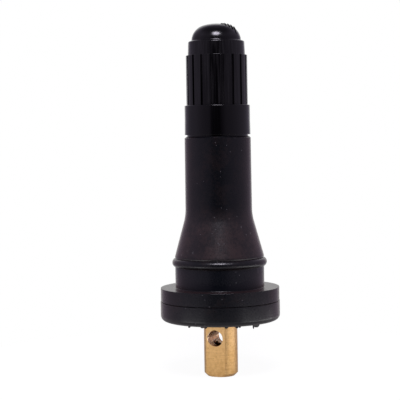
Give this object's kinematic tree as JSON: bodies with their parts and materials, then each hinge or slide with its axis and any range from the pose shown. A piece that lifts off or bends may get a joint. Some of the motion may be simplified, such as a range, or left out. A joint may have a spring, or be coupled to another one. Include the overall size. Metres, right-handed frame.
{
  "type": "tyre valve",
  "caption": "Rubber snap-in tyre valve on a brass stem, with a ribbed screw cap, a sprung valve core and a drilled foot for a pressure sensor.",
  "frame": {"origin": "on the valve's axis, in the plane of the flange's upper face, which seats against the rim", "axes": "+Z along the valve's axis towards the cap; the foot's two flats face -Y and +Y, and its cross hole runs along Y"},
  "size_m": [0.019, 0.019, 0.0559],
  "materials": {
    "cap_plastic": "satin black moulded plastic",
    "body_rubber": "matt black moulded rubber with a dusty bloom",
    "stem_brass": "satin turned brass",
    "core_brass": "bright turned brass",
    "seal_rubber": "smooth black rubber",
    "barrel_seal_red": "red seal rubber",
    "spring_steel": "drawn spring wire"
  },
  "bodies": {
    "stem": {"brass_stem": "stem_brass", "rubber_body": "body_rubber", "core_plug": "core_brass", "core_barrel": "core_brass", "barrel_seal": "barrel_seal_red", "core_spring": "spring_steel"},
    "pin": {"core_pin": "core_brass", "seat_cup": "core_brass", "seat_seal": "seal_rubber"},
    "seal_carrier": {"cap_seal": "seal_rubber"},
    "cap": {"cap": "cap_plastic"}
  },
  "joints": [
    {"name": "pin_press", "type": "slide", "parent": "stem", "child": "pin", "axis": [0, 0, -1], "range_m": [0, 0.0012], "stiffness_N_per_m": 900, "springref_m": -0.001, "deforming": ["core_spring"]},
    {"name": "cap_lift", "type": "slide", "parent": "stem", "child": "seal_carrier", "axis": [0, 0, 1], "range_m": [0, 0.00556]},
    {"name": "cap_turn", "type": "hinge", "parent": "seal_carrier", "child": "cap", "pos_m": [0, 0, 0.0355], "axis": [0, 0, 1], "range_deg": [0, 2520]}
  ],
  "couplings": [
    {"joint": "cap_turn", "follows": "cap_lift", "rad_per_m": 7913.3}
  ]
}
